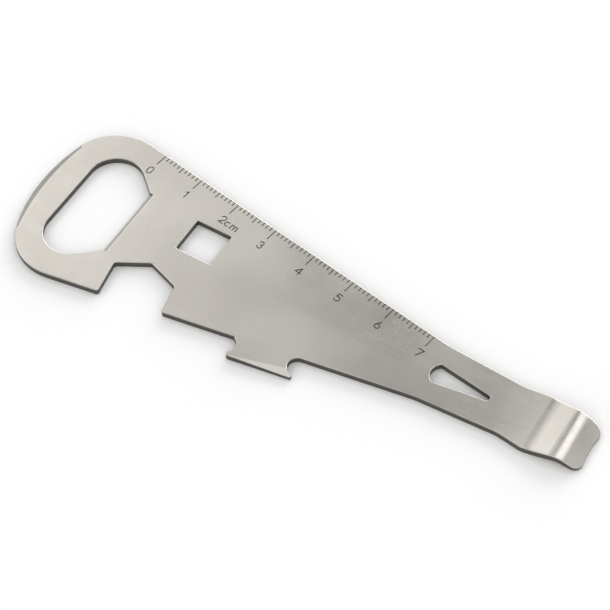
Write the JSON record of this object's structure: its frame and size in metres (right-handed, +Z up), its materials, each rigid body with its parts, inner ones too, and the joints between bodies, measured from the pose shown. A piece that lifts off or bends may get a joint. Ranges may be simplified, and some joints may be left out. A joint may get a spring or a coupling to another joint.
{
  "type": "painters multi tool",
  "caption": "Flat stainless steel pocket tool: bottle opener head, ruler edge, spanner notch, square drive hole, screwdriver tab, nail slot and bent pry tip.",
  "frame": {"origin": "on the surface that the tool lies on, under the middle of its bounding box", "axes": "+X along the tool from the head to the bent tip, +Y towards the ruler edge, +Z up out of the engraved face"},
  "size_m": [0.1242, 0.0386, 0.0025],
  "materials": {
    "satin_steel": "satin, tumbled stainless steel with fine random grain, brighter on the softened rims and ground bevels"
  },
  "bodies": {
    "root": {"tool_plate": "satin_steel"}
  },
  "joints": []
}
